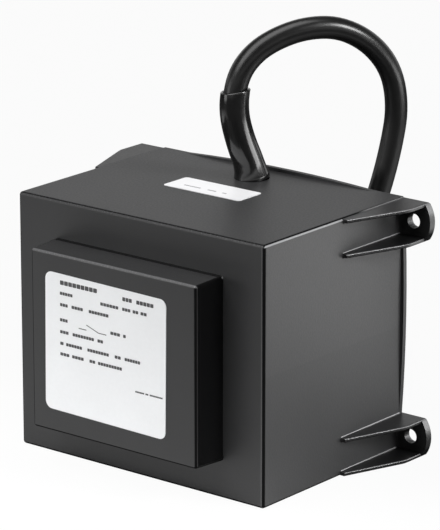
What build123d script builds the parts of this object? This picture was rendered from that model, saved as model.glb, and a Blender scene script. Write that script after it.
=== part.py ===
from build123d import *

import math
import os

# Potted safety transformer: a moulded cup on four screw ears, an E and I core with a two-chamber
# coil cast into it, and a sheathed supply lead. Millimetres, +X right, +Y to the rear, +Z up.

# Laminated core
centre_leg = 28.0
outer_leg = 14.0
yoke = 14.0
window_width = 14.0
window_height = 42.0
stack_depth = 43.0
core_hole_radius = 2.25

# Coil former, windings and what is wired to them
window_gap = 1.8
former_slip = 0.25
former_wall = 1.2
former_corner = 1.0
flange = 1.5
flange_corner = 3.0
flange_rim = 1.0
wrap = 0.5
rail_width = 32.0
rail_depth = 4.0
rail_height = 4.0
pin_radius = 0.5
pin_spacing = 19.0
pin_free = 5.0
solder_gap = 0.2
cutout_width = 16.0
cutout_height = 8.0
cutout_thickness = 3.6
cutout_edge = 0.6

# Housing
wall = 2.5
resin_side = 2.5
core_front_gap = 1.0
rear_space = 9.3
resin_recess = 1.0
edge_radius = 1.1
plinth_side_gap = 2.8
plinth_end_gap = 4.3
plinth_front_gap = 0.8
plinth_draft = 0.5
plinth_edge = 0.9
lip_depth = 1.5
lip_rise_top = 1.1
lip_rise_side = 1.1
lip_straight_end = 11.0

# Screw ears at the rear corners
ear_reach = 9.1
ear_bulge = 2.0
ear_corner_radius = 1.2
ear_height = 11.7
ear_inset = 0.3
ear_plate = 2.5
ear_edge = 0.3
gusset = 1.1
gusset_length = 30.8
gusset_shoulder = 10.0
nose_reach = 1.6
gusset_bend = 10.0
gusset_root = 0.5
bolt_radius = 2.25
bolt_from_wall = 5.1

# Labels
label_thickness = 0.2
front_label_width = 46.6
front_label_height = 42.3
front_label_corner = 3.8
front_label_x = -3.0
front_label_rise = 0.45
top_label_width = 29.4
top_label_depth = 11.3
top_label_corner = 1.0
top_label_x = -2.9
top_label_from_front = 38.1

# Supply lead, its sleeve and its put-away coil
lead_radius = 3.5
lead_tail = 7.0
sleeve_wall = 1.3
sleeve_tail = 5.0
sleeve_share = 0.6
gland_clearance = 0.3
exit_x = -2.0
rear_clearance = 8.0
core_radius = 1.1
core_bend = 4.6
core_spread = 1.2
core_drop = 1.9
core_free = 40.0
ferrule_radius = 0.8
ferrule_length = 8.0
coil_radius = 35.0
coil_x = -49.0
last_turn_end = 180.0
last_turn_arc = 225.0
turn_gap = 0.1
lead_room = 0.4
tie_angle = 225.0
tie_band = 0.6
tie_width = 4.0
tie_slack = 0.1
tie_head = 5.5
tie_head_edge = 0.7
bend_share = 0.45

# Coil and housing sizes that follow from these
coil_build = window_width - window_gap
winding_build = coil_build - former_slip - former_wall - wrap - flange_rim
core_width = centre_leg + 2 * window_width + 2 * outer_leg
core_height = window_height + 2 * yoke
cavity_width = core_width + 2 * resin_side
cavity_height = core_height + 2 * resin_side
housing_width = cavity_width + 2 * wall
housing_height = cavity_height + 2 * wall
housing_depth = wall + core_front_gap + stack_depth + coil_build + rear_space
plinth_cavity_width = centre_leg + 2 * (coil_build + plinth_side_gap)
plinth_cavity_height = window_height + 2 * plinth_end_gap
plinth_width = plinth_cavity_width + 2 * wall
plinth_height = plinth_cavity_height + 2 * wall
plinth_projection = coil_build + plinth_front_gap - core_front_gap
plinth_taper = math.degrees(math.atan(plinth_draft / plinth_projection))

# Levels along Y and Z
y_rear = (label_thickness + plinth_projection + housing_depth) / 2
y_front = y_rear - housing_depth
y_plinth = y_front - plinth_projection
core_front = y_front + wall + core_front_gap
core_rear = core_front + stack_depth
core_mid = (core_front + core_rear) / 2
coil_rear = core_rear + coil_build
z_mid = housing_height / 2
window_bottom = z_mid - window_height / 2
window_top = z_mid + window_height / 2
half_width = housing_width / 2
ear_levels = (ear_inset + ear_height / 2, housing_height - ear_inset - ear_height / 2)
ear_end = half_width + ear_reach
bolt_x = 2 * (half_width + bolt_from_wall)
bolt_z = ear_levels[1] - ear_levels[0]
pin_y = coil_rear - rail_depth / 2
exit_y = pin_y
sleeve_radius = lead_radius + sleeve_wall
gland_radius = sleeve_radius + gland_clearance

os.makedirs("parts", exist_ok=True)


def save(builder, name):
    """Labels a finished piece and writes it to its own STEP file."""
    builder.part.label = name
    export_step(builder.part, f"parts/{name}.step")


def facing_front(y):
    """The plane at that depth with +X right and +Z up, facing the front."""
    return Plane.XZ.offset(-y)


# Ears of the right side, one low and one high, each a plate with two gussets
ear_root = half_width - wall / 2
with BuildPart() as ears:
    for level in ear_levels:
        for gusset_low in (level - ear_height / 2, level + ear_height / 2 - gusset):
            with BuildSketch(Plane.XY.offset(gusset_low)) as gusset_outline:
                with BuildLine():
                    Polyline(
                        (ear_root, y_rear - gusset_length),
                        (half_width + nose_reach, y_rear - gusset_length),
                        (ear_end, y_rear - gusset_shoulder),
                        (ear_end, y_rear - ear_plate / 2),
                        (ear_root, y_rear - ear_plate / 2),
                        close=True,
                    )
                make_face()
                shoulder = gusset_outline.vertices().group_by(Axis.X)[-1].sort_by(Axis.Y)[0]
                fillet(shoulder, gusset_bend)
            extrude(amount=gusset)
    with BuildSketch(facing_front(y_rear)) as ear_outline:
        for level in ear_levels:
            low = level - ear_height / 2
            high = level + ear_height / 2
            with BuildLine():
                Polyline((ear_end, low), (ear_root, low), (ear_root, high), (ear_end, high))
                ThreePointArc((ear_end, high), (ear_end + ear_bulge, level), (ear_end, low))
            make_face()
        fillet(ear_outline.vertices().group_by(Axis.X)[-1], ear_corner_radius)
    # the gussets keep inside the rounded outline, which the plate then takes
    extrude(amount=gusset_length, mode=Mode.INTERSECT)
    extrude(ear_outline.sketch, amount=ear_plate)
    front_edges = ears.edges().filter_by(lambda e: e.center().Y < y_rear - gusset_shoulder)
    long_edges = front_edges.filter_by(lambda e: e.length > gusset_length / 2)
    fillet(long_edges.filter_by(lambda e: e.center().X > half_width + nose_reach), ear_edge)
    # rounded roots where the gussets meet the side wall
    with BuildSketch(facing_front(y_rear - ear_plate / 2)):
        for level in ear_levels:
            low = level - ear_height / 2
            high = level + ear_height / 2
            towards_middle = (high, 1) if level < z_mid else (low, -1)
            for face, up in ((low + gusset, 1), (high - gusset, -1), towards_middle):
                with Locations((half_width + gusset_root / 2, face + up * gusset_root / 2)):
                    Rectangle(gusset_root, gusset_root)
                with Locations((half_width + gusset_root, face + up * gusset_root)):
                    Circle(gusset_root, mode=Mode.SUBTRACT)
    extrude(amount=gusset_length - ear_plate / 2)

# Cup with its stepped front, open at the rear
with BuildPart() as housing:
    with BuildSketch(facing_front(y_rear)):
        with Locations((0, z_mid)):
            Rectangle(housing_width, housing_height)
    extrude(amount=housing_depth)
    fillet(housing.edges().filter_by(Axis.Y), edge_radius)
    fillet(housing.faces().sort_by(Axis.Y)[0].edges(), edge_radius)
    # plinth over the front end of the coil
    with BuildSketch(facing_front(y_front)):
        with Locations((0, z_mid)):
            Rectangle(plinth_width + 2 * plinth_draft, plinth_height + 2 * plinth_draft)
    extrude(amount=plinth_projection, taper=plinth_taper)
    plinth_edges = housing.edges().filter_by(lambda e: e.center().Y < y_front - plinth_edge)
    fillet(plinth_edges, plinth_edge)
    # rim at the open end, bowed out along the top and, above the low ears, along the sides
    bow_end = half_width - lip_straight_end
    bow_low = ear_levels[0] + ear_height / 2
    bow_mid = (bow_low + housing_height - edge_radius) / 2
    with BuildSketch(facing_front(y_rear)):
        with Locations((0, z_mid)):
            RectangleRounded(housing_width, housing_height, edge_radius)
        with BuildLine():
            Line((-bow_end, housing_height), (bow_end, housing_height))
            ThreePointArc(
                (bow_end, housing_height),
                (0, housing_height + lip_rise_top),
                (-bow_end, housing_height),
            )
        make_face()
        for side in (-half_width, half_width):
            outermost = side + math.copysign(lip_rise_side, side)
            with BuildLine():
                Line((side, bow_low), (side, housing_height - edge_radius))
                ThreePointArc((side, housing_height - edge_radius), (outermost, bow_mid), (side, bow_low))
            make_face()
    extrude(amount=lip_depth)
    add(ears.part)
    mirror(ears.part, about=Plane.YZ)
    # hollow for the core, and for the coil inside the plinth
    with BuildSketch(facing_front(y_rear)):
        with Locations((0, z_mid)):
            Rectangle(cavity_width, cavity_height)
    extrude(amount=housing_depth - wall, mode=Mode.SUBTRACT)
    with BuildSketch(facing_front(y_front + wall)):
        with Locations((0, z_mid)):
            Rectangle(plinth_cavity_width, plinth_cavity_height)
    extrude(amount=plinth_projection, mode=Mode.SUBTRACT)
    # lead hole in the top wall and screw holes in the ears
    with BuildSketch(Plane.XY.offset(housing_height)):
        with Locations((exit_x, exit_y)):
            Circle(gland_radius)
    extrude(amount=-wall, mode=Mode.SUBTRACT)
    with BuildSketch(facing_front(y_rear)):
        with Locations((0, z_mid)):
            with GridLocations(bolt_x, bolt_z, 2, 2):
                Circle(bolt_radius)
    extrude(amount=ear_plate, mode=Mode.SUBTRACT)
save(housing, "housing")

# E sheets: three legs standing on one yoke, with two bolt holes in the corners
hole_x = core_width - outer_leg
with BuildPart() as core_e_stack:
    with BuildSketch(facing_front(core_rear)):
        with Locations((0, window_top - (window_height + yoke) / 2)):
            Rectangle(core_width, window_height + yoke)
        with Locations((0, z_mid)):
            with GridLocations(centre_leg + window_width, 0, 2, 1):
                Rectangle(window_width, window_height, mode=Mode.SUBTRACT)
        with Locations((0, window_bottom - yoke / 2)):
            with GridLocations(hole_x, 0, 2, 1):
                Circle(core_hole_radius, mode=Mode.SUBTRACT)
    extrude(amount=stack_depth)
save(core_e_stack, "core_e_stack")

# I sheets: the yoke that closes the legs
with BuildPart() as core_i_stack:
    with BuildSketch(facing_front(core_rear)):
        with Locations((0, window_top + yoke / 2)):
            Rectangle(core_width, yoke)
            with GridLocations(hole_x, 0, 2, 1):
                Circle(core_hole_radius, mode=Mode.SUBTRACT)
    extrude(amount=stack_depth)
save(core_i_stack, "core_i_stack")

# Coil former: a square tube on the centre leg, three flanges and two terminal rails
leg_hole = (centre_leg + 2 * former_slip, stack_depth + 2 * former_slip)
tube_size = (leg_hole[0] + 2 * former_wall, leg_hole[1] + 2 * former_wall)
flange_size = (centre_leg + 2 * coil_build, stack_depth + 2 * coil_build)
chamber_height = (window_height - 3 * flange) / 2
flange_levels = [window_bottom + k * (flange + chamber_height) for k in range(3)]
rail_levels = (window_bottom - rail_height, window_top)
with BuildPart() as coil_former:
    with BuildSketch(Plane.XY.offset(window_bottom)):
        with Locations((0, core_mid)):
            RectangleRounded(*tube_size, former_corner)
    extrude(amount=window_height)
    for level in flange_levels:
        with BuildSketch(Plane.XY.offset(level)):
            with Locations((0, core_mid)):
                RectangleRounded(*flange_size, flange_corner)
        extrude(amount=flange)
    with BuildSketch(Plane.XY.offset(window_bottom)):
        with Locations((0, core_mid)):
            Rectangle(*leg_hole)
    extrude(amount=window_height, mode=Mode.SUBTRACT)
    for level in rail_levels:
        with BuildSketch(Plane.XY.offset(level)):
            with Locations((exit_x, pin_y)):
                Rectangle(rail_width, rail_depth)
                with GridLocations(pin_spacing, 0, 2, 1):
                    Circle(pin_radius, mode=Mode.SUBTRACT)
        extrude(amount=rail_height)
save(coil_former, "coil_former")

# Terminal pins, two for the mains side on top and two for the low-voltage side below
with BuildPart() as terminal_pins:
    for level in (rail_levels[0] - pin_free, rail_levels[1]):
        with BuildSketch(Plane.XY.offset(level)):
            with Locations((exit_x, pin_y)):
                with GridLocations(pin_spacing, 0, 2, 1):
                    Circle(pin_radius)
        extrude(amount=rail_height + pin_free)
save(terminal_pins, "terminal_pins")


def layer(level, inner, outer):
    """A closed layer round the former's tube, from one distance off its wall to another."""
    with BuildPart() as turns:
        with BuildSketch(Plane.XY.offset(level)):
            with Locations((0, core_mid)):
                RectangleRounded(tube_size[0] + 2 * outer, tube_size[1] + 2 * outer, former_corner + outer)
                RectangleRounded(
                    tube_size[0] + 2 * inner,
                    tube_size[1] + 2 * inner,
                    former_corner + inner,
                    mode=Mode.SUBTRACT,
                )
        extrude(amount=chamber_height)
    return turns


# Low-voltage winding in the lower chamber, mains winding in the upper one, each wrapped in film
secondary_winding = layer(flange_levels[0] + flange, 0, winding_build)
primary_winding = layer(flange_levels[1] + flange, 0, winding_build)
secondary_wrap = layer(flange_levels[0] + flange, winding_build, winding_build + wrap)
primary_wrap = layer(flange_levels[1] + flange, winding_build, winding_build + wrap)
save(secondary_winding, "secondary_winding")
save(primary_winding, "primary_winding")
save(secondary_wrap, "secondary_wrap")
save(primary_wrap, "primary_wrap")

# Thermal cut-out lying on the wrapped mains winding
wrap_rear = coil_rear - flange_rim
cutout_z = flange_levels[1] + flange + chamber_height / 2
with BuildPart() as thermal_cutout:
    with BuildSketch(facing_front(wrap_rear + cutout_thickness)):
        with Locations((0, cutout_z)):
            Rectangle(cutout_width, cutout_height)
    extrude(amount=cutout_thickness)
    fillet(thermal_cutout.faces().sort_by(Axis.Y)[-1].edges(), cutout_edge)
save(thermal_cutout, "thermal_cutout")

# Route of the supply lead: from inside the lead hole, over in a loop, and down behind the housing
lead_floor = lead_radius + tie_band
inner_lane = coil_radius - lead_radius
outer_lane = coil_radius + lead_radius
loop_points = [
    (0.0, 0.0, -lead_tail),
    (0.0, 0.0, 1.5),
    (-2.3, -3.5, 12.0),
    (-3.6, -5.4, 22.0),
    (-2.8, -4.1, 32.0),
    (0.0, 0.0, 38.7),
    (4.2, 6.2, 43.0),
    (9.5, 14.1, 45.5),
    (15.4, 22.8, 45.0),
    (21.0, 31.1, 39.5),
    (24.6, 36.5, 30.5),
    (25.7, 38.1, 18.5),
    (24.6, 36.5, 6.5),
    (22.9, 34.0, -5.5),
]
fall_points = [
    (19.0, 8.3, 58.9),
    (17.2, 5.9, 46.4),
    (14.8, 4.0, 34.1),
    (11.4, 2.6, 23.0),
    (4.9, 1.6, 13.3),
    (-4.5, 0.9, 5.7),
    (-15.6, 0.5, 1.3),
    (-27.4, 0.3, 0.0),
    (-38.7, 0.0, 0.0),
    (coil_x, 0.0, 0.0),
]
floor_y = y_rear + rear_clearance + lead_radius
route = [Vector(exit_x + x, exit_y + y, housing_height + z) for x, y, z in loop_points]
route += [Vector(x, floor_y + y, lead_floor + z) for x, y, z in fall_points]


def bend_radii(points):
    """The largest arc that fits at each corner of a route."""
    radii = []
    for before, corner, after in zip(points, points[1:], points[2:]):
        turn = (corner - before).get_angle(after - corner)
        shorter = min((corner - before).length, (after - corner).length)
        radii.append(bend_share * shorter / math.tan(math.radians(turn) / 2))
    return radii


def tube_along(points, outer, inner=0.0):
    """A round bar along straight runs and arcs, hollow where an inner radius is given."""
    with BuildPart() as tube:
        with BuildLine() as path:
            FilletPolyline(*points, radius=radii[: len(points) - 2])
        with BuildSketch(Plane(path.line @ 0, z_dir=path.line % 0)):
            Circle(outer)
            if inner:
                Circle(inner, mode=Mode.SUBTRACT)
        sweep()
    return tube, sum(edge.length for edge in path.edges())


radii = bend_radii(route)
supply_lead, lead_length = tube_along(route, lead_radius)
lead_section = math.pi * lead_radius**2
lead_ratio = supply_lead.part.volume / lead_section / lead_length
print("lead length", round(lead_length, 1), "volume over section times length", round(lead_ratio, 4))
save(supply_lead, "supply_lead")

# Bend-relief sleeve over the start of the lead, held in the resin under the lead hole
sleeve_start = Vector(exit_x, exit_y, housing_height - sleeve_tail)
sleeve_end = route[3] + (route[4] - route[3]) * sleeve_share
sleeve_route = [sleeve_start, *route[1:4], sleeve_end]
cable_sleeve = tube_along(sleeve_route, sleeve_radius, lead_radius)[0]
save(cable_sleeve, "cable_sleeve")

# Cores of the lead inside the housing, bent down to the two mains pins
pin_contact = window_top + rail_height + pin_free / 2
for name, side in (("inner_core_brown", -1), ("inner_core_blue", 1)):
    with BuildPart() as inner_core:
        with BuildLine(facing_front(exit_y)) as core_line:
            FilletPolyline(
                (exit_x + side * core_spread, housing_height - lead_tail),
                (exit_x + side * core_spread, pin_contact),
                (exit_x + side * (pin_spacing / 2 - pin_radius - solder_gap), pin_contact),
                radius=core_bend,
            )
        with BuildSketch(Plane(core_line.line @ 0, z_dir=core_line.line % 0)):
            Circle(core_radius)
        sweep()
    save(inner_core, name)
    if side < 0:
        inner_core_brown = inner_core
    else:
        inner_core_blue = inner_core

# Resin that fills the cup round everything cast into it
with BuildPart() as potting_compound:
    with BuildSketch(facing_front(y_rear - resin_recess)):
        with Locations((0, z_mid)):
            Rectangle(cavity_width, cavity_height)
    extrude(amount=housing_depth - wall - resin_recess)
    with BuildSketch(facing_front(y_front + wall)):
        with Locations((0, z_mid)):
            Rectangle(plinth_cavity_width, plinth_cavity_height)
    extrude(amount=plinth_projection)
    for cast_in in (core_e_stack, core_i_stack, coil_former, terminal_pins, thermal_cutout):
        add(cast_in.part, mode=Mode.SUBTRACT)
    for cast_in in (secondary_winding, primary_winding, secondary_wrap, primary_wrap):
        add(cast_in.part, mode=Mode.SUBTRACT)
    for cast_in in (inner_core_brown, inner_core_blue):
        add(cast_in.part, mode=Mode.SUBTRACT)
    # the slip gap round the centre leg stays empty
    with BuildSketch(Plane.XY.offset(window_bottom)):
        with Locations((0, core_mid)):
            Rectangle(*leg_hole)
    extrude(amount=window_height, mode=Mode.SUBTRACT)
    # seats of the sleeve and of the lead's end
    with BuildSketch(Plane.XY.offset(housing_height - wall)):
        with Locations((exit_x, exit_y)):
            Circle(sleeve_radius)
    extrude(amount=-(sleeve_tail - wall), mode=Mode.SUBTRACT)
    with BuildSketch(Plane.XY.offset(housing_height - wall)):
        with Locations((exit_x, exit_y)):
            Circle(lead_radius)
    extrude(amount=-(lead_tail - wall), mode=Mode.SUBTRACT)
save(potting_compound, "potting_compound")

# Coil of the rest of the lead on the floor behind: two turns side by side, with two more on top
coil_y = floor_y + outer_lane
coil_axis = Axis((coil_x, coil_y, 0), (0, 0, 1))
top_rise = 2 * lead_radius + turn_gap


def coil_plane(angle):
    """The upright plane through the coil's axis at that angle from +X, with X outwards and Y up."""
    outwards = (math.cos(math.radians(angle)), math.sin(math.radians(angle)), 0)
    facing = (outwards[1], -outwards[0], 0)
    return Plane((coil_x, coil_y, 0), x_dir=outwards, z_dir=facing)


with BuildPart() as supply_lead_coil:
    with BuildSketch(coil_plane(0)):
        with Locations((coil_radius, lead_floor)):
            SlotCenterToCenter(2 * lead_radius, 2 * lead_radius)
        with Locations((inner_lane, lead_floor + top_rise / 2)):
            SlotCenterToCenter(top_rise, 2 * lead_radius, rotation=90)
    revolve(axis=coil_axis)
    # the last turn, which ends before it closes
    with BuildSketch(coil_plane(last_turn_end)):
        with Locations((coil_radius, lead_floor + top_rise / 2)):
            RectangleRounded(4 * lead_radius, top_rise + 2 * lead_radius, lead_radius)
    revolve(axis=coil_axis, revolution_arc=last_turn_arc)
    # room for the lead where it runs in under the last turn
    with Locations((coil_x, coil_y - coil_radius + lead_room, 0)):
        Box(
            2 * coil_radius,
            2 * coil_radius,
            lead_floor + top_rise - lead_radius + lead_room,
            align=(Align.MIN, Align.MAX, Align.MIN),
            mode=Mode.SUBTRACT,
        )
save(supply_lead_coil, "supply_lead_coil")

# Cable tie round the four turns
with BuildPart() as lead_tie:
    with BuildSketch(coil_plane(tie_angle)):
        with Locations((coil_radius, lead_floor + top_rise / 2)):
            RectangleRounded(
                4 * lead_radius + 2 * tie_band,
                top_rise + 2 * (lead_radius + tie_band),
                lead_radius + tie_band,
            )
    extrude(amount=tie_width / 2, both=True)
    with BuildSketch(coil_plane(tie_angle)):
        with Locations((coil_radius, lead_floor + top_rise + lead_radius + tie_head / 2)):
            Rectangle(tie_head, tie_head)
    extrude(amount=tie_head / 2, both=True)
    fillet(lead_tie.edges().filter_by(Axis.Z).group_by(Axis.Z)[-1], tie_head_edge)
    with BuildSketch(coil_plane(tie_angle)):
        with Locations((coil_radius, lead_floor + top_rise / 2)):
            RectangleRounded(
                4 * lead_radius + 2 * tie_slack,
                top_rise + 2 * (lead_radius + tie_slack),
                lead_radius + tie_slack,
            )
    extrude(amount=tie_head, both=True, mode=Mode.SUBTRACT)
save(lead_tie, "lead_tie")

# Stripped cores at the far end of the lead, each crimped into a ferrule
core_arc = math.degrees(core_free / outer_lane)
core_z = lead_floor + top_rise - core_drop
for name, side in (("end_core_brown", -1), ("end_core_blue", 1)):
    with BuildPart() as end_core:
        with BuildSketch(coil_plane(last_turn_end - core_arc)):
            with Locations((outer_lane + side * core_spread, core_z)):
                Circle(core_radius)
        revolve(axis=coil_axis, revolution_arc=core_arc)
    save(end_core, name)
with BuildPart() as end_ferrules:
    with BuildSketch(coil_plane(last_turn_end - core_arc)):
        with Locations((outer_lane, core_z)):
            with GridLocations(2 * core_spread, 0, 2, 1):
                Circle(ferrule_radius)
    extrude(amount=ferrule_length)
save(end_ferrules, "end_ferrules")

# Labels on the plinth and on the top
with BuildPart() as front_label:
    with BuildSketch(facing_front(y_plinth)):
        with Locations((front_label_x, z_mid + front_label_rise)):
            RectangleRounded(front_label_width, front_label_height, front_label_corner)
    extrude(amount=label_thickness)
save(front_label, "front_label")
with BuildPart() as top_label:
    with BuildSketch(Plane.XY.offset(housing_height)):
        with Locations((top_label_x, y_front + top_label_from_front)):
            RectangleRounded(top_label_width, top_label_depth, top_label_corner)
    extrude(amount=label_thickness)
save(top_label, "top_label")
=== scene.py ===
import math
from collections import namedtuple

import bmesh
import bpy
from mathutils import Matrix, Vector


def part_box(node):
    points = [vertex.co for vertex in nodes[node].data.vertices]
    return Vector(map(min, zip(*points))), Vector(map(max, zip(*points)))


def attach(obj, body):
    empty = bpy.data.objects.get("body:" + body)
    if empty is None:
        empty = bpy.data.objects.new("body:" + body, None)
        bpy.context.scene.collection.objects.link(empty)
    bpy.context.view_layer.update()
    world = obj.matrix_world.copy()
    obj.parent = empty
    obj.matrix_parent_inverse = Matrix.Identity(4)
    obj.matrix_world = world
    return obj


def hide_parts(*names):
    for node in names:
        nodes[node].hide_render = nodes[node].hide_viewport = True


# Potted safety transformer: looks of its surfaces, its supply lead and its plain printed labels.
# Lengths on the object are in millimetres, and are turned to metres where they enter the scene.

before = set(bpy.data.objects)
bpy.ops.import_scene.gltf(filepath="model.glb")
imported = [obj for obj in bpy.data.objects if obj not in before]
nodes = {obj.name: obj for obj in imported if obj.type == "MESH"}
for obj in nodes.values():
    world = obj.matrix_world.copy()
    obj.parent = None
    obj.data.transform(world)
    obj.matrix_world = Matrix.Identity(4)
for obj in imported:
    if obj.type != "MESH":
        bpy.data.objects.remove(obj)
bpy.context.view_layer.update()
scene = bpy.context.scene
scene.view_settings.view_transform = "Standard"
MM = 0.001


# Material helpers

def shader_tree(name):
    """A new material's node tree and its principled shader."""
    material = bpy.data.materials.new(name)
    material.use_nodes = True
    tree = material.node_tree
    return material, tree, tree.nodes["Principled BSDF"]


def feed(tree, socket, value):
    """Set an input to a value, or link it to a socket."""
    if isinstance(value, bpy.types.NodeSocket):
        tree.links.new(value, socket)
    else:
        socket.default_value = value


def add_node(tree, kind, settings=None, **inputs):
    """A node with its settings, and with each named input set to a value or linked to a socket."""
    node = tree.nodes.new(kind)
    for key, value in (settings or {}).items():
        setattr(node, key, value)
    for key, value in inputs.items():
        feed(tree, node.inputs[key.replace("_", " ")], value)
    return node


def place(tree):
    """Object coordinates in millimetres."""
    coords = add_node(tree, "ShaderNodeTexCoord").outputs["Object"]
    scaled = add_node(tree, "ShaderNodeVectorMath", {"operation": "SCALE"}, Vector=coords, Scale=1.0 / MM)
    return scaled.outputs["Vector"]


def parts(tree, vector):
    """A vector's X, Y and Z."""
    return add_node(tree, "ShaderNodeSeparateXYZ", Vector=vector).outputs


def noise(tree, vector, scale, detail=3.0, roughness=0.5):
    """A noise value whose features are about one over the scale in millimetres."""
    settings = {"Vector": vector, "Scale": scale, "Detail": detail, "Roughness": roughness}
    return add_node(tree, "ShaderNodeTexNoise", **settings).outputs["Fac"]


def spread(tree, value, low, high, start=0.25, end=0.75):
    """The value taken from start..end to low..high."""
    node = add_node(tree, "ShaderNodeMapRange", Value=value)
    for key, number in (("From Min", start), ("From Max", end), ("To Min", low), ("To Max", high)):
        node.inputs[key].default_value = number
    return node.outputs["Result"]


def rising(tree, value, stretch, top=1.0):
    """0 before a stretch of values and the top value after it."""
    return spread(tree, value, 0.0, top, *stretch)


def falling(tree, value, stretch, top=1.0):
    """The top value before a stretch of values and 0 after it."""
    return spread(tree, value, top, 0.0, *stretch)


def combine(tree, operation, first, second=0.0):
    """A math operation on two values or sockets."""
    node = add_node(tree, "ShaderNodeMath", {"operation": operation})
    feed(tree, node.inputs[0], first)
    feed(tree, node.inputs[1], second)
    return node.outputs[0]


def product(tree, first, *others):
    """The product of several values."""
    for value in others:
        first = combine(tree, "MULTIPLY", first, value)
    return first


def greatest(tree, first, *others):
    """The greatest of several values."""
    for value in others:
        first = combine(tree, "MAXIMUM", first, value)
    return first


def less(tree, first, second):
    """The first value less the second."""
    return combine(tree, "SUBTRACT", first, second)


def towards(tree, vector, direction):
    """How far a vector goes in a direction."""
    node = add_node(tree, "ShaderNodeVectorMath", {"operation": "DOT_PRODUCT"}, Vector=vector)
    node.inputs[1].default_value = direction
    return node.outputs["Value"]


def blend(tree, factor, first, second):
    """A colour between two colours, each of them a socket, three numbers or one grey."""
    node = add_node(tree, "ShaderNodeMix", {"data_type": "RGBA"}, Factor=factor)
    for socket, colour in ((node.inputs[6], first), (node.inputs[7], second)):
        if isinstance(colour, float):
            colour = (colour,) * 3
        if isinstance(colour, tuple):
            colour = (*colour, 1.0)
        feed(tree, socket, colour)
    return node.outputs[2]


def between(tree, factor, first, second):
    """A value between two values."""
    node = add_node(tree, "ShaderNodeMix", {"data_type": "FLOAT"})
    for socket, value in zip((node.inputs[0], node.inputs[2], node.inputs[3]), (factor, first, second)):
        feed(tree, socket, value)
    return node.outputs[0]


def bump(tree, shader, height, distance):
    """Relief on a shader, as deep as the distance in millimetres."""
    node = add_node(tree, "ShaderNodeBump", Height=height, Distance=distance * MM)
    tree.links.new(node.outputs["Normal"], shader.inputs["Normal"])


# Plain plastics, metals and windings

SOFT_DETAIL = 2.0
GRAIN_ROUGHNESS = 0.6
TONE_SCALE = 0.06
TONE_SHARE = 0.55
SPECKLE_SHARE = 0.45
STREAK_DETAIL = 4.0
STREAK_RELIEF = 0.02
WIRE_SCALE = 0.314
WIRE_WANDER = 0.4
WIRE_DETAIL = 1.0
WIRE_RELIEF = 0.15
WIRE_STAIN = 0.8
WIRE_ROUGH = (0.25, 0.4)


def plastic(name, dark, light, rough, grain, grain_depth, specular=0.5):
    """A moulded plastic: slow tone changes, a fine grain and a roughness that varies with the grain."""
    material, tree, shader = shader_tree(name)
    where = place(tree)
    tone = noise(tree, where, TONE_SCALE, SOFT_DETAIL)
    speckle = noise(tree, where, grain, SOFT_DETAIL, GRAIN_ROUGHNESS)
    slow = spread(tree, tone, 0.0, TONE_SHARE)
    fine = spread(tree, speckle, 0.0, SPECKLE_SHARE)
    shade = combine(tree, "ADD", slow, fine)
    tree.links.new(blend(tree, shade, dark, light), shader.inputs["Base Color"])
    tree.links.new(spread(tree, speckle, *rough), shader.inputs["Roughness"])
    shader.inputs["Specular IOR Level"].default_value = specular
    bump(tree, shader, speckle, grain_depth)
    return material


def metal(name, dark, light, rough, stretch):
    """A metal with a grain drawn out along the axes where the stretch is small."""
    material, tree, shader = shader_tree(name)
    where = add_node(tree, "ShaderNodeMapping", Vector=place(tree), Scale=stretch).outputs["Vector"]
    streak = noise(tree, where, 1.0, STREAK_DETAIL, GRAIN_ROUGHNESS)
    tree.links.new(blend(tree, spread(tree, streak, 0.0, 1.0), dark, light), shader.inputs["Base Color"])
    tree.links.new(spread(tree, streak, *rough), shader.inputs["Roughness"])
    shader.inputs["Metallic"].default_value = 1.0
    bump(tree, shader, streak, STREAK_RELIEF)
    return material


def windings(name, dark, light, pitch):
    """Copper wire laid turn beside turn up the height of its chamber."""
    material, tree, shader = shader_tree(name)
    where = place(tree)
    turns = add_node(
        tree,
        "ShaderNodeTexWave",
        {"wave_type": "BANDS", "bands_direction": "Z"},
        Vector=where,
        Scale=WIRE_SCALE / pitch,
        Distortion=WIRE_WANDER,
        Detail=WIRE_DETAIL,
    ).outputs["Fac"]
    tree.links.new(blend(tree, turns, dark, light), shader.inputs["Base Color"])
    tree.links.new(spread(tree, noise(tree, where, WIRE_STAIN), *WIRE_ROUGH), shader.inputs["Roughness"])
    shader.inputs["Metallic"].default_value = 1.0
    bump(tree, shader, turns, WIRE_RELIEF)
    return material


# Housing plastic: stretches in millimetres along X, Y or Z over which its finish, or its painted light and
# shade, changes

FRONT_WALL = -27.9
EAR = (47.4, 47.8)
PLINTH = (FRONT_WALL - 0.7, FRONT_WALL - 0.3)
# the plinth's flanks and its root along the front wall are painted dark as painted shade
PLINTH_FLANK = (31.0, 31.4)
ROOT_BEGIN = (FRONT_WALL - 2.2, FRONT_WALL - 1.6)
ROOT_END = (FRONT_WALL - 0.12, FRONT_WALL - 0.04)
# the height above which the side walls are painted lighter as painted sheen
SHEEN_HEIGHT = (39.7, 40.3)
# where the top right edge's painted highlight line widens along the ear
EAR_LINE_SPAN = (17.0, 22.0)

# Housing plastic: ranges of its normal's X, Y or Z over which its finish, or its painted light and shade,
# changes

ROUND_EDGE = (0.93, 0.99)
FLAT_SIDE = (0.9, 0.99)
# normals that take the painted highlights on edges and on the front right corner
RISE_OF_GLINT = (0.15, 0.4)
PLINTH_FRONT_OF_GLINT = (-0.4, -0.15)
BOX_FRONT_OF_GLINT = (-0.75, -0.6)
EAR_RIGHT_OF_GLINT = (0.15, 0.4)
RISE_OF_TOP_EDGE = (0.15, 0.3)
# normals of the top right edge that take its painted highlight lines
PALE_OF_TOP_EDGE = (0.65, 0.8)
EAR_LINE_OF_TOP_EDGE = (0.35, 0.5)
DULL_OF_TOP_EDGE = (0.15, 0.25)
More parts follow.
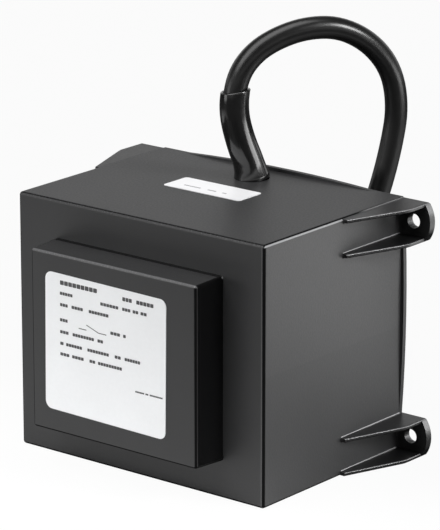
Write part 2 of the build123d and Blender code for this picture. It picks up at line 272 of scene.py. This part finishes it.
# the painted highlight on the front right upright corner
CORNER_BEGIN = (0.06, 0.15)
CORNER_END = (0.3, 0.4)
CORNER_FRONT = (-0.8, -0.6)
DULL_CORNER = (0.4, 0.5)
DULL_CORNER_FRONT = (-0.3, -0.15)
DOWN_OR_LEFT = (-0.2, -0.05)

# Housing plastic: strengths, scales, colours and roughness of each finish, and of each painted highlight,
# sheen and shade

# strengths of the painted highlights on the box and on the corner
BOX_GLINT = 0.5
CORNER_GLINT = 0.6
# strength of the painted highlight line along the ear
EAR_LINE_GLINT = 0.4
# how much the painted sheen lightens the upper side walls
SHEEN_STEP = 0.6
WALL_TONE_SCALE = 0.05
WALL_GRAIN = 1.6
WALL_RELIEF = 0.03
EAR_RELIEF = 0.1
SPECK_SHARE = 0.35
WALL_DARK = (0.017, 0.0172, 0.0178)
WALL_LIGHT = (0.021, 0.0212, 0.0218)
# painted sheen on the upper side walls
UPPER_SHEEN_TONE = (0.026, 0.026, 0.0265)
SPECK_TONE = (0.03, 0.03, 0.031)
# painted shade on the ears
EAR_SHADE_TONE = (0.006, 0.006, 0.0063)
# painted shade on rounded edges and on the plinth's flanks and root
SHADE_TONE = (0.0025, 0.0025, 0.0027)
# painted highlights on edges, brighter on the ears
GLINT_TONE = (0.11, 0.11, 0.112)
EAR_GLINT_TONE = (0.15, 0.15, 0.153)
# painted highlight line along the top right edge
PALE_TONE = (0.29, 0.29, 0.295)
WALL_ROUGH = (0.42, 0.56)
EAR_ROUGH = (0.36, 0.44)
SMOOTH_ROUGH = (0.22, 0.3)
POLISHED_ROUGH = (0.1, 0.15)
DULL_ROUGH = (0.9, 1.0)
WALL_SPECULAR = 0.5
DULL_SPECULAR = 0.1


# what a point of the housing is: its place, its distance out from the middle, its normal's parts with and
# without their signs, and how far it lies on a rounded edge, an ear, the plinth or the box behind that
Spot = namedtuple("Spot", "at outward turn size edge ear plinth box")


def housing_spot(tree, where):
    """What each point of the housing is."""
    at = parts(tree, where)
    outward = combine(tree, "ABSOLUTE", at["X"])
    normal = add_node(tree, "ShaderNodeTexCoord").outputs["Normal"]
    turn = parts(tree, normal)
    unsigned = add_node(tree, "ShaderNodeVectorMath", {"operation": "ABSOLUTE"}, Vector=normal)
    size = parts(tree, unsigned.outputs["Vector"])
    # on a rounded edge no part of the normal is near 1
    edge = falling(tree, greatest(tree, size["X"], size["Y"], size["Z"]), ROUND_EDGE)
    ear = rising(tree, outward, EAR)
    plinth = falling(tree, at["Y"], PLINTH)
    return Spot(at, outward, turn, size, edge, ear, plinth, less(tree, 1.0, plinth))


def upper_sheen_mask(tree, spot):
    """The side walls above mid-height, painted lighter as painted sheen."""
    upper = rising(tree, spot.at["Z"], SHEEN_HEIGHT, SHEEN_STEP)
    return product(tree, upper, rising(tree, spot.size["X"], FLAT_SIDE))


def polished_and_shaded_mask(tree, spot):
    """The plinth's flanks, and its root close to the front wall: polished, and painted dark as painted
    shade.
    """
    flank = product(tree, spot.plinth, rising(tree, spot.outward, PLINTH_FLANK))
    root = product(tree, rising(tree, spot.at["Y"], ROOT_BEGIN), falling(tree, spot.at["Y"], ROOT_END))
    return greatest(tree, flank, root)


def top_edge_masks(tree, spot):
    """The top right edge's painted highlight line next to the side wall, widening into a weaker painted
    highlight along the ear, and its dull ridge.
    """
    upward = rising(tree, spot.turn["Z"], RISE_OF_TOP_EDGE)
    top_edge = product(tree, less(tree, spot.box, spot.ear), upward)
    line = product(tree, top_edge, rising(tree, spot.turn["X"], PALE_OF_TOP_EDGE))
    ear_line = product(tree, top_edge, rising(tree, spot.turn["X"], EAR_LINE_OF_TOP_EDGE))
    ear_line = product(tree, ear_line, rising(tree, spot.at["Y"], EAR_LINE_SPAN, EAR_LINE_GLINT))
    pale = product(tree, greatest(tree, line, ear_line), spot.edge)
    ridge = product(tree, top_edge, rising(tree, spot.turn["X"], DULL_OF_TOP_EDGE))
    return pale, less(tree, ridge, pale)


def glint_mask(tree, spot):
    """Painted highlights on the top front edges of the plinth and, less so, of the box, on the ears' right
    edges, and on a corner.
    """
    turn = spot.turn
    plinth = product(tree, spot.plinth, falling(tree, turn["Y"], PLINTH_FRONT_OF_GLINT))
    box = product(tree, spot.box, falling(tree, turn["Y"], BOX_FRONT_OF_GLINT, BOX_GLINT))
    ear = product(tree, spot.ear, rising(tree, turn["X"], EAR_RIGHT_OF_GLINT))
    upward = rising(tree, turn["Z"], RISE_OF_GLINT)
    glint = product(tree, greatest(tree, plinth, box, ear), upward, spot.edge)
    # a painted highlight on the upright corner on the right, on its side towards the front
    corner = product(tree, spot.box, falling(tree, turn["Y"], CORNER_FRONT))
    corner = product(tree, corner, rising(tree, turn["X"], CORNER_BEGIN))
    corner = product(tree, corner, falling(tree, turn["X"], CORNER_END, CORNER_GLINT))
    return greatest(tree, glint, corner)


def dull_mask(tree, spot, pale, ridge):
    """Edges that turn down or to the left, the ridge, and the right side of upright corners at the front."""
    turn = spot.turn
    corner = less(tree, rising(tree, turn["X"], DULL_CORNER), spot.ear)
    corner = product(tree, corner, falling(tree, turn["Y"], DULL_CORNER_FRONT))
    down = falling(tree, turn["Z"], DOWN_OR_LEFT)
    left = falling(tree, turn["X"], DOWN_OR_LEFT)
    return product(tree, spot.edge, greatest(tree, less(tree, corner, pale), ridge, down, left))


def moulded_plastic(name):
    """The housing's black plastic: grained walls, finer ears painted dark as painted shade, upper side walls
    painted lighter as painted sheen, and edges pale with painted highlights, dark with painted shade, or
    dull, by their turn.
    """
    material, tree, shader = shader_tree(name)
    where = place(tree)
    tone = noise(tree, where, WALL_TONE_SCALE, SOFT_DETAIL)
    grain = noise(tree, where, WALL_GRAIN, SOFT_DETAIL, GRAIN_ROUGHNESS)
    spot = housing_spot(tree, where)
    polished_and_shaded = polished_and_shaded_mask(tree, spot)
    # rounded edges and polished parts are smoother, and painted dark as painted shade
    smooth = greatest(tree, spot.edge, polished_and_shaded)
    glint = glint_mask(tree, spot)
    pale, ridge = top_edge_masks(tree, spot)
    dull = dull_mask(tree, spot, pale, ridge)
    colour = blend(tree, spread(tree, tone, 0.0, 1.0), WALL_DARK, WALL_LIGHT)
    for factor, next_colour in (
        # painted sheen on the upper side walls
        (upper_sheen_mask(tree, spot), UPPER_SHEEN_TONE),
        (spread(tree, grain, 0.0, SPECK_SHARE), SPECK_TONE),
        # painted shade on the ears
        (spot.ear, EAR_SHADE_TONE),
        # painted shade on rounded edges and on the plinth's flanks and root
        (smooth, SHADE_TONE),
        # painted highlights on edges, brighter on the ears
        (glint, GLINT_TONE),
        (product(tree, glint, spot.ear), EAR_GLINT_TONE),
        # painted highlight line along the top right edge
        (pale, PALE_TONE),
    ):
        colour = blend(tree, factor, colour, next_colour)
    tree.links.new(colour, shader.inputs["Base Color"])
    rough = spread(tree, grain, *WALL_ROUGH)
    for factor, next_rough in (
        (spot.ear, EAR_ROUGH),
        (smooth, SMOOTH_ROUGH),
        (polished_and_shaded, POLISHED_ROUGH),
        (dull, DULL_ROUGH),
    ):
        rough = between(tree, factor, rough, spread(tree, grain, *next_rough))
    tree.links.new(rough, shader.inputs["Roughness"])
    specular = spread(tree, dull, WALL_SPECULAR, DULL_SPECULAR, 0.0, 1.0)
    tree.links.new(specular, shader.inputs["Specular IOR Level"])
    relief = product(tree, grain, spread(tree, spot.ear, 1.0, EAR_RELIEF, 0.0, 1.0))
    bump(tree, shader, relief, WALL_RELIEF)
    return material


# Materials

# plastics: a dark and a light colour, a range of roughness, the grain's scale and depth, a specular level
housing_plastic = moulded_plastic("housing_plastic")
resin = plastic("potting_resin", (0.016, 0.016, 0.017), (0.026, 0.026, 0.027), (0.16, 0.3), 0.25, 0.12)
former_plastic = plastic("former_plastic", (0.55, 0.50, 0.38), (0.66, 0.62, 0.50), (0.4, 0.55), 2.0, 0.02)
wrap_film = plastic("wrap_film", (0.70, 0.50, 0.06), (0.80, 0.62, 0.12), (0.15, 0.3), 0.5, 0.05)
brown_core = plastic("brown_core", (0.10, 0.035, 0.014), (0.14, 0.05, 0.02), (0.28, 0.4), 1.2, 0.02)
blue_core = plastic("blue_core", (0.012, 0.06, 0.28), (0.02, 0.08, 0.36), (0.28, 0.4), 1.2, 0.02)
sheath = plastic("lead_sheath", 0.002, 0.004, (0.28, 0.32), 0.3, 0.001, 0.5)
sleeve_plastic = plastic("sleeve_plastic", 0.003, 0.005, (0.13, 0.17), 0.5, 0.002, 0.75)
tie_nylon = plastic("tie_nylon", (0.014, 0.014, 0.015), (0.024, 0.024, 0.025), (0.3, 0.42), 2.0, 0.02)
label_film = plastic("label_film", (0.84, 0.85, 0.86), (0.89, 0.9, 0.91), (0.3, 0.42), 0.8, 0.008)
# the top label's film is painted darker than the front label's, as painted shade against the brighter light
# on the top
top_film = plastic("top_label_film", (0.7, 0.7, 0.71), (0.75, 0.75, 0.76), (0.3, 0.42), 0.8, 0.008)
label_ink = plastic("label_ink", (0.045, 0.045, 0.046), (0.07, 0.07, 0.072), (0.4, 0.55), 4.0, 0.002)
pale_ink = plastic("pale_ink", (0.22, 0.22, 0.23), (0.32, 0.32, 0.33), (0.4, 0.55), 4.0, 0.002)
# metals: a dark and a light colour, and then a range of roughness and the grain's stretch, or a wire's pitch
core_steel = metal("core_steel", (0.20, 0.21, 0.22), (0.34, 0.35, 0.37), (0.35, 0.5), (0.3, 2.0, 0.3))
cutout_metal = metal("cutout_metal", (0.55, 0.55, 0.56), (0.68, 0.68, 0.69), (0.25, 0.4), (0.4, 3.0, 3.0))
tinned_metal = metal("tinned_metal", (0.60, 0.60, 0.59), (0.74, 0.74, 0.72), (0.25, 0.4), (2.0, 2.0, 2.0))
copper = windings("enamelled_copper", (0.30, 0.09, 0.03), (0.62, 0.24, 0.10), 0.6)

node_materials = {
    "housing": housing_plastic,
    "potting_compound": resin,
    "core_e_stack": core_steel,
    "core_i_stack": core_steel,
    "coil_former": former_plastic,
    "primary_winding": copper,
    "secondary_winding": copper,
    "primary_wrap": wrap_film,
    "secondary_wrap": wrap_film,
    "thermal_cutout": cutout_metal,
    "terminal_pins": tinned_metal,
    "inner_core_brown": brown_core,
    "inner_core_blue": blue_core,
    "lead_tie": tie_nylon,
    "end_core_brown": brown_core,
    "end_core_blue": blue_core,
    "end_ferrules": tinned_metal,
    "front_label": label_film,
    "top_label": top_film,
}
for name, material in node_materials.items():
    nodes[name].data.materials.clear()
    nodes[name].data.materials.append(material)


# Supply lead: its loop over the top, its fall behind the block and its put-away coil, in one smooth line

LEAD_RADIUS = 3.5
CORD_STEPS = 6
CORD_ROUNDNESS = 7
CORD_ORDER = 3
EXIT = Vector((-2.0, 28.8, 80.0))
FLOOR_Y = 51.6
LEAD_FLOOR = 4.1
COIL_X = -49.0
COIL_RADIUS = 35.0
# the loop is measured from the lead's exit, and the fall from the line on the floor that it comes down to
LOOP = [
    (0.0, 0.0, -7.0),
    (0.0, 0.0, 1.5),
    (-2.3, -3.5, 12.0),
    (-3.6, -5.4, 22.0),
    (-2.8, -4.1, 32.0),
    (0.0, 0.0, 38.7),
    (4.2, 6.2, 43.0),
    (9.5, 14.1, 45.5),
    (15.4, 22.8, 45.0),
    (21.0, 31.1, 39.5),
    (24.9, 36.7, 30.5),
    (26.1, 38.4, 18.5),
    (25.0, 36.8, 6.5),
    (23.3, 34.3, -5.5),
]
FALL = [
    (19.0, 8.3, 58.9),
    (17.2, 5.9, 46.4),
    (14.8, 4.0, 34.1),
    (11.4, 2.6, 23.0),
    (4.9, 1.6, 13.3),
    (-4.5, 0.9, 5.7),
    (-15.6, 0.5, 1.3),
    (-27.4, 0.3, 0.0),
    (-38.7, 0.0, 0.0),
    (COIL_X, 0.0, 0.0),
]
# the coil's turns, by the angle run through: into the inner lane, up a layer, and out again
COIL_STEP = 20.0
COIL_END = 1170.0
MOVE_IN = (280.0, 350.0)
MOVE_UP = (575.0, 645.0)
MOVE_OUT = (885.0, 955.0)
TOP_RISE = 7.1
OUTER_LANE = COIL_RADIUS + LEAD_RADIUS
COIL_Y = FLOOR_Y + OUTER_LANE


def ramp(value, start, end):
    """A smooth step from 0 to 1 between two values."""
    t = min(max((value - start) / (end - start), 0.0), 1.0)
    return t * t * (3.0 - 2.0 * t)


def coil_point(angle):
    """A control point of the coil, at that angle clockwise from its front."""
    inward = ramp(angle, *MOVE_IN) - ramp(angle, *MOVE_OUT)
    radius = OUTER_LANE - inward * 2.0 * LEAD_RADIUS
    radius /= math.cos(math.radians(COIL_STEP / 2.0))
    height = LEAD_FLOOR + TOP_RISE * ramp(angle, *MOVE_UP)
    a = math.radians(angle)
    return Vector((COIL_X - radius * math.sin(a), COIL_Y - radius * math.cos(a), height))


def cord_curve(name, points, radius):
    """A round cord along a smooth spline."""
    curve = bpy.data.curves.new(name, "CURVE")
    curve.dimensions = "3D"
    curve.resolution_u = CORD_STEPS
    curve.bevel_depth = radius * MM
    curve.bevel_resolution = CORD_ROUNDNESS
    curve.use_fill_caps = True
    spline = curve.splines.new("NURBS")
    spline.points.add(len(points) - 1)
    for target, point in zip(spline.points, points):
        target.co = (*(point * MM), 1.0)
    spline.order_u = CORD_ORDER
    spline.use_endpoint_u = True
    piece = bpy.data.objects.new(name, curve)
    scene.collection.objects.link(piece)
    return piece


route = [EXIT + Vector(p) for p in LOOP]
route += [Vector((x, FLOOR_Y + y, LEAD_FLOOR + z)) for x, y, z in FALL]
coil_steps = int(COIL_END / COIL_STEP)
route += [coil_point((k + 0.5) * COIL_STEP) for k in range(coil_steps + 1)]
lead = cord_curve("supply_cable", route, LEAD_RADIUS)
lead.data.materials.append(sheath)
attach(lead, "root")
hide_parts("supply_lead", "supply_lead_coil")


# Mesh helpers

def band(shape, first, second, smooth=False):
    """Faces all round between two rings of points."""
    for k in range(len(first)):
        nxt = (k + 1) % len(first)
        face = shape.faces.new((first[k], first[nxt], second[nxt], second[k]))
        face.smooth = smooth


def mesh_piece(name, shape, material):
    """A finished shape as a piece of the object."""
    bmesh.ops.recalc_face_normals(shape, faces=shape.faces)
    mesh = bpy.data.meshes.new(name)
    shape.to_mesh(mesh)
    shape.free()
    mesh.materials.append(material)
    piece = bpy.data.objects.new(name, mesh)
    scene.collection.objects.link(piece)
    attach(piece, "root")
    return piece


# Bend-relief sleeve, drawn over the start of the lead

SLEEVE_SIDES = 48
SLEEVE_STEPS = 30
SLEEVE_START = 2.0
SLEEVE_END = 35.6
SLEEVE_BASE = 4.8
SLEEVE_TIP = 4.42
SLEEVE_BORE = 3.53
BORE_DEPTH = 3.0
WAIST_DEPTH = 0.03
WAIST_START = 0.4
WAIST_WAVES = 1.3
FOOT_LEVEL = 7.05
FOOT_HEIGHT = 6.0
FOOT_FLARE = 0.85
FOOT_LIP = 0.1
# the lip's round end, and how it is cut askew and a little out of round
LIP_STEPS = 8
LIP_BEGIN = 1.1
LIP_BACK = 0.7
LIP_HEIGHT = 0.55
LIP_BULGE = 0.1
LIP_REACH = 4.0
LIP_TILT = 1.25
LIP_TILT_TURN = math.radians(39.0)
LIP_WAVES = 2.0
LIP_WAVE = 0.12
LIP_WAVE_TURN = 0.6
LIP_SWELLS = 3.0
LIP_SWELL = 0.006
LIP_SWELL_TURN = 1.0


def centreline(piece):
    """Points along a cord's own line, in millimetres."""
    bare = piece.data.copy()
    bare.bevel_depth = 0.0
    holder = bpy.data.objects.new("centreline", bare)
    mesh = bpy.data.meshes.new_from_object(holder)
    points = [v.co / MM for v in mesh.vertices]
    bpy.data.objects.remove(holder)
    bpy.data.meshes.remove(mesh)
    return points


def along(points, distance):
    """The place and the direction at that distance along a line of points."""
    for a, b in zip(points, points[1:]):
        step = (b - a).length
        if distance <= step:
            return a.lerp(b, distance / step), (b - a).normalized()
        distance -= step
    return points[-1], (points[-1] - points[-2]).normalized()


def sleeve_profile():
    """Distances along the lead, with radii: out to the foot, up the outside, over the lip, down the bore."""
    foot = SLEEVE_BASE + FOOT_FLARE
    profile = [(SLEEVE_START, SLEEVE_BASE), (FOOT_LEVEL, SLEEVE_BASE), (FOOT_LEVEL, foot - FOOT_LIP)]
    span = SLEEVE_END - FOOT_LEVEL - LIP_BEGIN - FOOT_LIP
    for k in range(SLEEVE_STEPS + 1):
        t = k / SLEEVE_STEPS
        rise = FOOT_LIP + span * t
        waist = WAIST_DEPTH * math.sin(2.0 * math.pi * WAIST_WAVES * t + WAIST_START)
        flare = FOOT_FLARE * max(0.0, 1.0 - rise / FOOT_HEIGHT) ** 2
        taper = SLEEVE_BASE + (SLEEVE_TIP - SLEEVE_BASE) * t
        profile.append((FOOT_LEVEL + rise, taper + waist + flare))
    middle = (SLEEVE_TIP + SLEEVE_BORE) / 2.0
    half = (SLEEVE_TIP - SLEEVE_BORE) / 2.0
    for k in range(LIP_STEPS + 1):
        a = math.pi * k / LIP_STEPS
        distance = SLEEVE_END - LIP_BACK + LIP_HEIGHT * math.sin(a)
        profile.append((distance, middle + half * math.cos(a) + LIP_BULGE * math.sin(a)))
    profile.append((SLEEVE_END - BORE_DEPTH, SLEEVE_BORE))
    return profile


def sleeve_shape(line):
    """The sleeve's surface round a line of points."""
    shape = bmesh.new()
    rings = []
    side = Vector((1.0, 0.0, 0.0))
    for distance, radius in sleeve_profile():
        centre, forward = along(line, distance)
        side = (side - forward * side.dot(forward)).normalized()
        across = forward.cross(side)
        near_lip = ramp(distance, SLEEVE_END - LIP_REACH, SLEEVE_END)
        ring = []
        for k in range(SLEEVE_SIDES):
            a = 2.0 * math.pi * k / SLEEVE_SIDES
            askew = LIP_TILT * math.cos(a - LIP_TILT_TURN)
            askew += LIP_WAVE * math.sin(LIP_WAVES * a + LIP_WAVE_TURN)
            swell = 1.0 + near_lip * LIP_SWELL * math.sin(LIP_SWELLS * a + LIP_SWELL_TURN)
            outward = side * math.cos(a) + across * math.sin(a)
            point = centre + forward * near_lip * askew + outward * radius * swell
            ring.append(shape.verts.new(point * MM))
        rings.append(ring)
    for first, second in zip(rings, rings[1:]):
        band(shape, first, second, smooth=True)
    return shape


sleeve = mesh_piece("bend_sleeve", sleeve_shape(centreline(lead)), sleeve_plastic)
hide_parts("cable_sleeve")


# Front label, stuck on a little askew

LABEL_WIDTH = 46.46
LABEL_HEIGHT = 42.72
LABEL_CORNER = 2.4
LABEL_ASKEW = 0.0123
LABEL_RIM = 0.05
CORNER_STEPS = 8
label_middle = Vector((-2.79, 0.0, 40.42))
label_right = Vector((math.cos(LABEL_ASKEW), 0.0, -math.sin(LABEL_ASKEW)))
label_up = Vector((math.sin(LABEL_ASKEW), 0.0, math.cos(LABEL_ASKEW)))
low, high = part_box("front_label")
label_back = high.y / MM
label_front = low.y / MM


def round_rectangle(width, height, radius):
    """Points (across, up) round a rectangle with round corners, about its middle."""
    points = []
    for k, (x_sign, y_sign) in enumerate(((1, 1), (-1, 1), (-1, -1), (1, -1))):
        x = x_sign * (width / 2.0 - radius)
        y = y_sign * (height / 2.0 - radius)
        for step in range(CORNER_STEPS + 1):
            a = math.pi / 2.0 * (k + step / CORNER_STEPS)
            points.append((x + radius * math.cos(a), y + radius * math.sin(a)))
    return points


def film_shape():
    """The label's film: a thin plate whose front edge is bevelled all round."""
    shape = bmesh.new()
    rings = []
    for y, inset in ((label_back, 0.0), (label_front + LABEL_RIM, 0.0), (label_front, LABEL_RIM)):
        middle = label_middle + Vector((0.0, y, 0.0))
        width = LABEL_WIDTH - 2.0 * inset
        height = LABEL_HEIGHT - 2.0 * inset
        outline = round_rectangle(width, height, LABEL_CORNER - inset)
        places = [middle + label_right * u + label_up * v for u, v in outline]
        rings.append([shape.verts.new(p * MM) for p in places])
    for first, second in zip(rings, rings[1:]):
        band(shape, first, second)
    shape.faces.new(rings[0])
    shape.faces.new(rings[-1])
    return shape


film = mesh_piece("front_label_film", film_shape(), label_film)
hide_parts("front_label")


# Plain printed marks on the two labels: rows of equal blocks, and a switch drawn in three strokes

PRINT_THICKNESS = 0.02
PITCH_SHARE = 0.64
WIDTH_SHARE = 0.9
TALL_SHARE = 0.56
CLIP_SHARE = 0.12
SWITCH_LINE = 0.26
# rows: the middle below the label's top, the height, and where each word starts and ends
FRONT_ROWS = [
    (2.7, 2.4, [(5.8, 20.3)]),
    (3.2, 2.1, [(29.9, 33.6), (35.2, 41.8)]),
    (6.0, 1.7, [(5.7, 10.7)]),
    (6.3, 1.7, [(21.4, 28.4), (29.8, 33.0), (33.8, 36.0), (36.8, 39.2)]),
    (9.5, 1.7, [(5.7, 8.8), (10.2, 14.7), (16.9, 24.6)]),
    (14.2, 1.7, [(5.6, 8.7)]),
    (14.5, 1.7, [(25.2, 29.0), (30.1, 31.2)]),
    (17.9, 1.7, [(5.6, 9.0), (10.5, 18.9), (20.2, 22.4)]),
    (21.5, 1.7, [(5.6, 7.0), (7.9, 14.2), (16.2, 24.6), (26.8, 29.2), (30.6, 36.6)]),
    (24.8, 1.7, [(5.6, 9.2), (10.2, 14.8), (17.0, 19.3), (20.3, 29.6)]),
    (30.6, 0.9, [(34.6, 38.0), (38.5, 39.6), (40.1, 45.0)]),
]
TOP_ROWS = [(7.4, 1.3, [(5.2, 11.6), (14.4, 17.6), (20.0, 21.6)])]
SWITCH = [((12.9, 15.5), (15.9, 15.5)), ((15.9, 13.9), (20.6, 15.5)), ((20.6, 15.5), (23.6, 15.5))]

# a label's top left corner, and its directions to the right and up
Sheet = namedtuple("Sheet", "corner right up")


def mark(shape, sheet, outline):
    """A thin raised mark with that outline, measured to the right and down from a sheet's corner."""
    out = sheet.right.cross(sheet.up) * PRINT_THICKNESS
    places = [sheet.corner + sheet.right * u - sheet.up * v for u, v in outline]
    feet = [shape.verts.new(p * MM) for p in places]
    tops = [shape.verts.new((p + out) * MM) for p in places]
    band(shape, feet, tops)
    shape.faces.new(tops)


def block(left, top, width, height):
    """An upright block with clipped corners."""
    c = CLIP_SHARE * min(width, height)
    right = left + width
    bottom = top + height
    return [
        (left, bottom - c),
        (left + c, bottom),
        (right - c, bottom),
        (right, bottom - c),
        (right, top + c),
        (right - c, top),
        (left + c, top),
        (left, top + c),
    ]


def word(shape, sheet, left, end, middle, height):
    """A row of equal blocks from left to end."""
    count = max(1, round((end - left) / (PITCH_SHARE * height)))
    pitch = (end - left) / count
    tall = TALL_SHARE * height
    for k in range(count):
        mark(shape, sheet, block(left + k * pitch, middle - tall / 2.0, WIDTH_SHARE * pitch, tall))


def stroke(shape, sheet, a, b, width):
    """A straight line between two points."""
    run = Vector((b[0] - a[0], b[1] - a[1])).normalized() * width / 2.0
    aside = Vector((-run.y, run.x))
    ends = (Vector(a) + aside, Vector(b) + aside, Vector(b) - aside, Vector(a) - aside)
    mark(shape, sheet, [tuple(p) for p in ends])


def print_on(name, sheet, rows, strokes, ink):
    """A label's rows of words and its strokes as one piece."""
    shape = bmesh.new()
    for middle, height, words in rows:
        for left, end in words:
            word(shape, sheet, left, end, middle, height)
    for a, b in strokes:
        stroke(shape, sheet, a, b, SWITCH_LINE)
    mesh_piece(name, shape, ink)


front_corner = label_middle - label_right * LABEL_WIDTH / 2.0 + label_up * LABEL_HEIGHT / 2.0
front_corner.y = label_front
front_sheet = Sheet(front_corner, Vector((1.0, 0.0, 0.0)), Vector((0.0, 0.0, 1.0)))
print_on("front_print", front_sheet, FRONT_ROWS, SWITCH, label_ink)
low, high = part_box("top_label")
top_sheet = Sheet(Vector((low.x, high.y, high.z)) / MM, Vector((1.0, 0.0, 0.0)), Vector((0.0, 1.0, 0.0)))
print_on("top_print", top_sheet, TOP_ROWS, [], pale_ink)


# Camera, as the photograph was taken, with its place in metres

AZIMUTH = math.radians(38.885)
ELEVATION = math.radians(16.459)
CAMERA_PLACE = (0.662737, -0.811484, 0.368706)
LENS = 247.519
SENSOR_WIDTH = 36.0
CLIP_END = 20.0
camera_data = bpy.data.cameras.new("camera")
camera_data.lens = LENS
camera_data.sensor_width = SENSOR_WIDTH
camera_data.clip_end = CLIP_END
camera = bpy.data.objects.new("camera", camera_data)
camera.location = CAMERA_PLACE
sight = Vector((
    -math.sin(AZIMUTH) * math.cos(ELEVATION),
    math.cos(AZIMUTH) * math.cos(ELEVATION),
    -math.sin(ELEVATION),
))
camera.rotation_euler = sight.to_track_quat("-Z", "Y").to_euler()
scene.collection.objects.link(camera)
scene.camera = camera


# Floor, in metres: paper painted pale close to the object's front, as a painted pool of light, and dark
# further out and on the camera's side, as painted shade

TO_CAMERA = (0.63, -0.777, 0.0)
FLOOR_HALF = 4.0
FLOOR_DROP = 0.0002
FLOOR_ROUGHNESS = 0.9
# the painted pool of light near the front, and the painted shade further out
PAPER_LIT_PAINT = 0.85
PAPER_SHADE_PAINT = 0.08
PALE_REACH = (0.16, 0.34)
PALE_FRONT = (-0.03, 0.03)
CAMERA_SIDE = (0.06, 0.15)
# what the object mirrors of it: a painted reflection, glowing white on the right and in front, but not on
# the camera's side
WHITE_SHARE = 0.96
WHITE_RIGHT = (0.047, 0.19)
WHITE_FRONT = (-0.04, -0.03)
WHITE_REACH = (0.28, 0.4)


def floor_paper():
    """Paper that the camera sees as white, and that lights and mirrors in the object as laid out above."""
    material, tree, shader = shader_tree("floor_paper")
    where = add_node(tree, "ShaderNodeTexCoord").outputs["Object"]
    at = parts(tree, where)
    away = add_node(tree, "ShaderNodeVectorMath", {"operation": "LENGTH"}, Vector=where).outputs["Value"]
    aside = falling(tree, towards(tree, where, TO_CAMERA), CAMERA_SIDE)
    # the painted pool of light near the front, and painted shade further out and on the camera's side
    pale = product(tree, falling(tree, away, PALE_REACH), falling(tree, at["Y"], PALE_FRONT), aside)
    tree.links.new(blend(tree, pale, PAPER_SHADE_PAINT, PAPER_LIT_PAINT), shader.inputs["Base Color"])
    shader.inputs["Roughness"].default_value = FLOOR_ROUGHNESS
    shader.inputs["Specular IOR Level"].default_value = 0.0
    path = add_node(tree, "ShaderNodeLightPath").outputs
    lit = greatest(tree, rising(tree, at["X"], WHITE_RIGHT), falling(tree, at["Y"], WHITE_FRONT))
    lit = product(tree, lit, falling(tree, away, WHITE_REACH), aside)
    mirrored = product(tree, path["Is Glossy Ray"], lit)
    seen = greatest(tree, path["Is Camera Ray"], path["Is Transmission Ray"], mirrored)
    white = add_node(tree, "ShaderNodeEmission", Color=(1.0, 1.0, 1.0, 1.0), Strength=1.0)
    mix = tree.nodes.new("ShaderNodeMixShader")
    tree.links.new(product(tree, seen, WHITE_SHARE), mix.inputs[0])
    tree.links.new(shader.outputs[0], mix.inputs[1])
    tree.links.new(white.outputs[0], mix.inputs[2])
    tree.links.new(mix.outputs[0], tree.nodes["Material Output"].inputs["Surface"])
    return material


floor_mesh = bpy.data.meshes.new("floor")
floor_corners = [(x * FLOOR_HALF, y * FLOOR_HALF, 0.0) for x, y in ((-1, -1), (1, -1), (1, 1), (-1, 1))]
floor_mesh.from_pydata(floor_corners, [], [(0, 1, 2, 3)])
floor_mesh.materials.append(floor_paper())
floor = bpy.data.objects.new("floor", floor_mesh)
floor.location.z = -FLOOR_DROP
scene.collection.objects.link(floor)


# World: white all round at the horizon, and above it bright at the left rear and dark elsewhere

FROM_CAMERA = (-0.63, 0.777, 0.0)
HORIZON = 0.97
LEFT_REAR = 0.9
OTHER_SIDES = 0.18
OVERHEAD = 0.14
HORIZON_RISE = (0.07, 0.16)
REAR_TURN = (0.35, 0.75)
OVERHEAD_RISE = (0.30, 0.55)
world = bpy.data.worlds.new("studio")
scene.world = world
world.use_nodes = True
tree = world.node_tree
direction = add_node(tree, "ShaderNodeTexCoord").outputs["Generated"]
height = parts(tree, direction)["Z"]
rearward = rising(tree, towards(tree, direction, FROM_CAMERA), REAR_TURN)
sky = blend(tree, rearward, OTHER_SIDES, LEFT_REAR)
sky = blend(tree, rising(tree, height, OVERHEAD_RISE), sky, OVERHEAD)
sky = blend(tree, rising(tree, height, HORIZON_RISE), HORIZON, sky)
tree.links.new(sky, tree.nodes["Background"].inputs["Color"])


# Lamps: a place, a target, a width and height, all in metres, and watts

LAMPS = {
    "key_above": ((-0.103, -0.497, 1.0725), (0.0, 0.0, 0.06), (0.8, 1.95), 17.3),
    "side_panel": ((0.185, 0.14, 0.05), (0.235, 0.0534, 0.05), (0.26, 0.1), 0.2),
    "right_high": ((0.96, 0.18, 0.70), (0.0, 0.05, 0.12), (0.3, 0.36), 10.0),
    "right_low": ((0.667, 0.3, 0.065), (0.0, 0.03, 0.09), (0.45, 0.13), 0.95),
    "front_left": ((-0.42, -0.55, 0.12), (0.0, -0.03, 0.05), (0.3, 0.2), 0.4),
}


def softbox(name, location, target, size, watts):
    """A rectangular area lamp that points at a target."""
    data = bpy.data.lights.new(name, "AREA")
    data.shape = "RECTANGLE"
    data.size, data.size_y = size
    data.energy = watts
    lamp = bpy.data.objects.new(name, data)
    lamp.location = location
    aim = Vector(target) - Vector(location)
    lamp.rotation_euler = aim.to_track_quat("-Z", "Y").to_euler()
    scene.collection.objects.link(lamp)


for name, settings in LAMPS.items():
    softbox(name, *settings)
